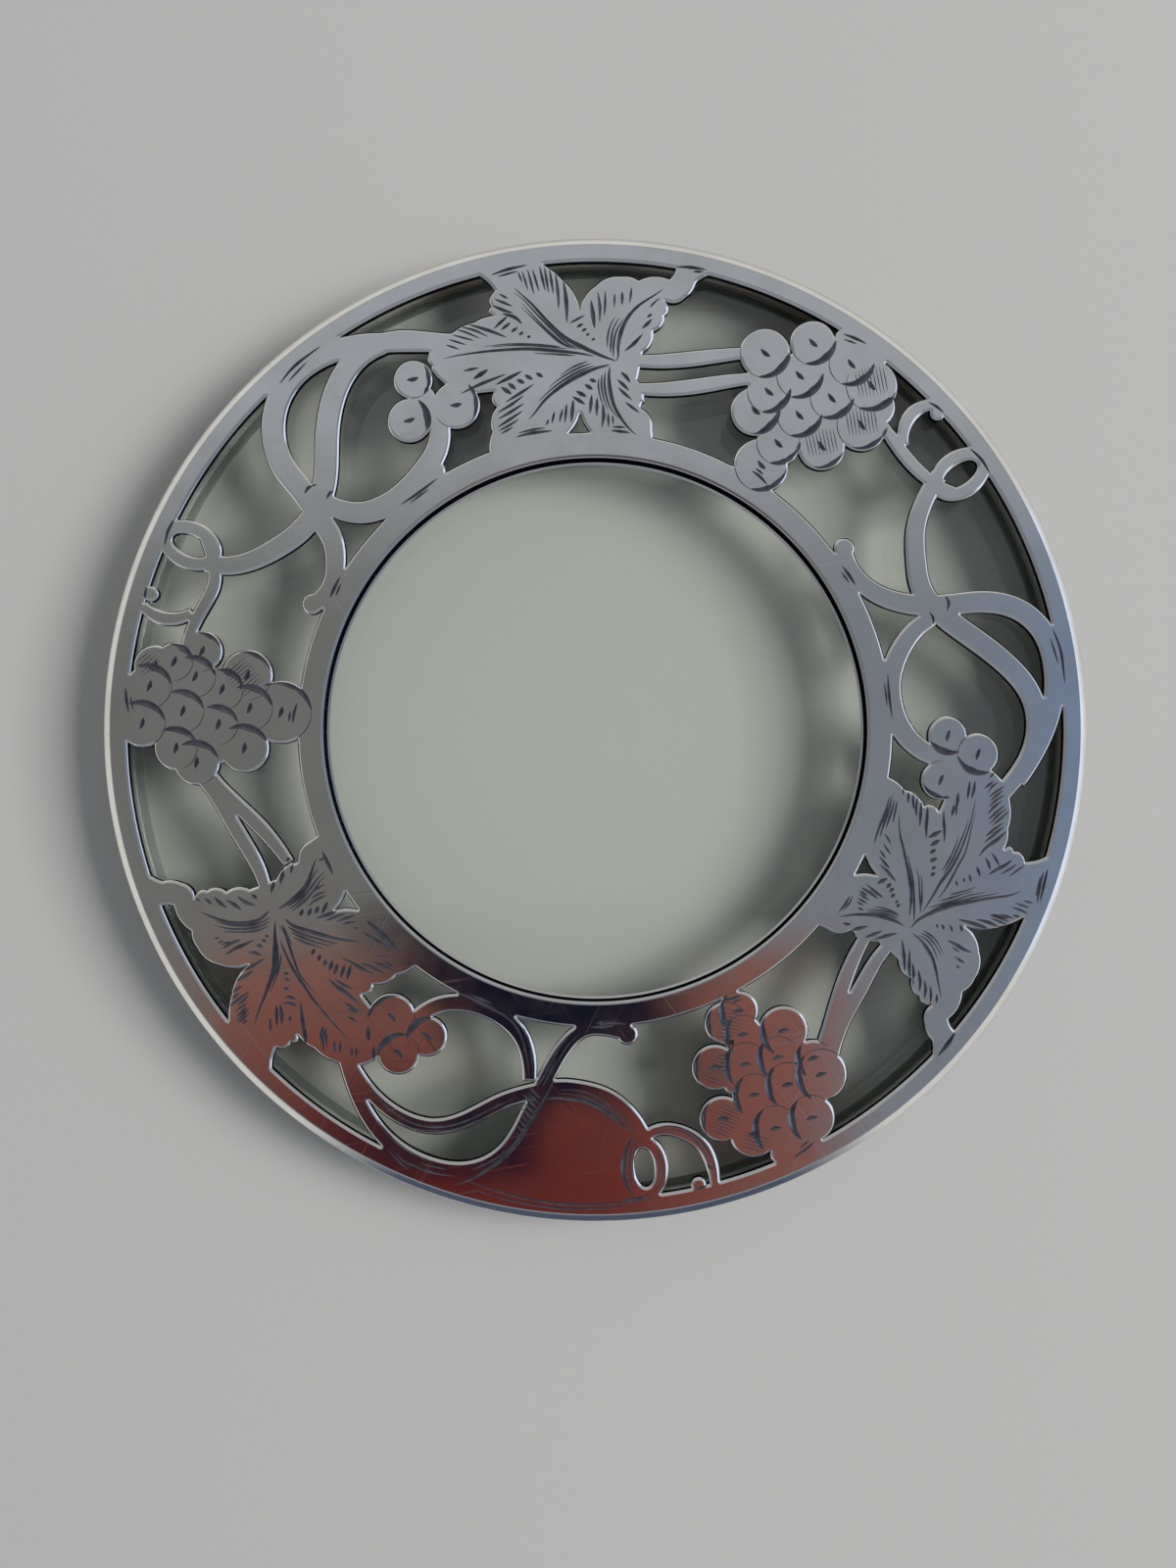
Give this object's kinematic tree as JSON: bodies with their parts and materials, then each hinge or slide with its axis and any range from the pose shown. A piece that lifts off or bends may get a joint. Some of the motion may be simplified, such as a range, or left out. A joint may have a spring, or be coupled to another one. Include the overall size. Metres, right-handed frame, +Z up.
{
  "type": "wine bottle coaster",
  "caption": "Flat round wine bottle coaster: a clear glass disc in a polished silver mount, its ring pierced and engraved with a running grapevine around a plain seat for the bottle.",
  "frame": {"origin": "centre of the glass's underside, on the table", "axes": "+Z up along the axis of the ring, +Y towards the leaf at the top of the picture, +X to the picture's right"},
  "size_m": [0.14, 0.14, 0.0088],
  "materials": {
    "polished_silver": "polished silver, hand-worn, with engraved cuts",
    "clear_glass": "clear soda-lime glass, polished"
  },
  "bodies": {
    "root": {"glass_disc": "clear_glass", "outer_band": "polished_silver", "inner_collar": "polished_silver", "pierced_plate": "polished_silver"}
  },
  "joints": []
}
